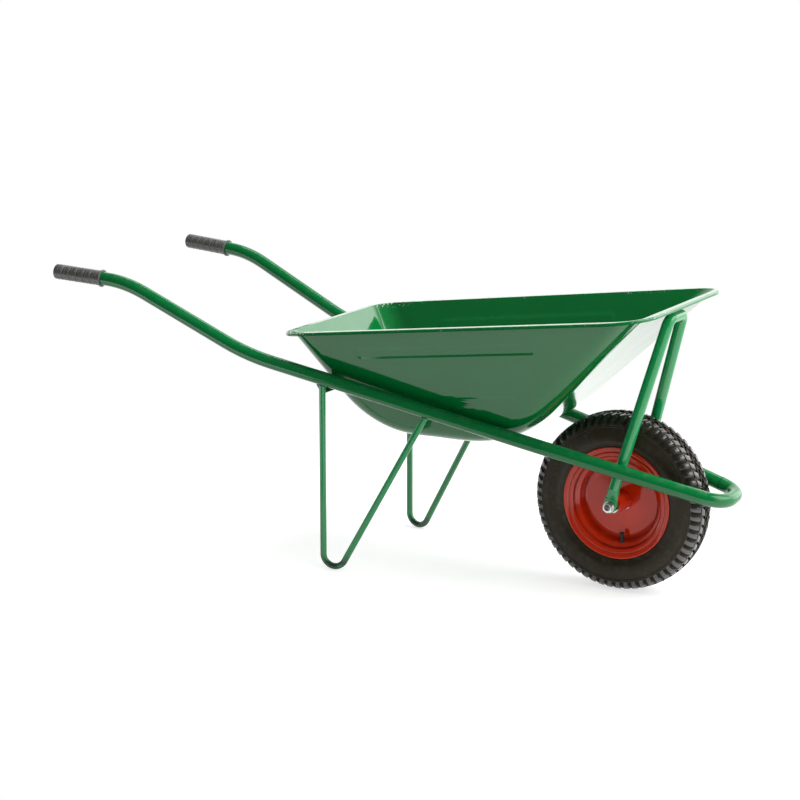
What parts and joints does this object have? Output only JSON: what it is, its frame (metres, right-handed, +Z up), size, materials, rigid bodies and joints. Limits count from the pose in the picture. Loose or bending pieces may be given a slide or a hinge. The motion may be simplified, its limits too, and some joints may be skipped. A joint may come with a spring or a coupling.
{
  "type": "wheelbarrow",
  "caption": "Builder's wheelbarrow: pressed steel tray in a bent-tube frame with round-bar legs, rubber grips and a pneumatic wheel that spins on its axle.",
  "frame": {"origin": "on the ground, at the middle of the overall length and width", "axes": "+X from the handles to the wheel, +Y to the operator's left, +Z up"},
  "size_m": [1.5244, 0.5522, 0.6265],
  "materials": {
    "frame_paint": "gloss green paint",
    "tray_paint": "gloss green paint on pressed sheet",
    "grip_rubber": "dark grey ribbed rubber",
    "rim_paint": "gloss red paint",
    "tyre_rubber": "black moulded tread rubber",
    "tube_rubber": "black rubber",
    "cap_plastic": "black plastic",
    "zinc_steel": "bright zinc plate",
    "bearing_steel": "ground bearing steel"
  },
  "bodies": {
    "frame": {"right_rail": "frame_paint", "left_rail": "frame_paint", "nose_sleeve": "zinc_steel", "right_grip": "grip_rubber", "left_grip": "grip_rubber", "right_leg": "frame_paint", "left_leg": "frame_paint", "rear_cross_bar": "frame_paint", "tray": "tray_paint", "front_hoop": "frame_paint", "tray_bolts": "zinc_steel", "tray_washers": "zinc_steel", "tray_nuts": "zinc_steel", "axle": "zinc_steel", "axle_nuts": "zinc_steel", "axle_washers": "zinc_steel", "axle_spacers": "zinc_steel", "bearing_spacer": "zinc_steel", "bearing_inner_races": "bearing_steel"},
    "wheel": {"bearing_outer_races": "bearing_steel", "bearing_balls": "bearing_steel", "hub_tube": "rim_paint", "right_rim_half": "rim_paint", "left_rim_half": "rim_paint", "tyre": "tyre_rubber", "inner_tube": "tube_rubber", "valve_stem": "tube_rubber", "valve_cap": "cap_plastic"}
  },
  "joints": [
    {"name": "wheel_spin", "type": "hinge", "parent": "frame", "child": "wheel", "pos_m": [0.50524, 0, 0.19], "axis": [0, 1, 0], "continuous": true}
  ]
}
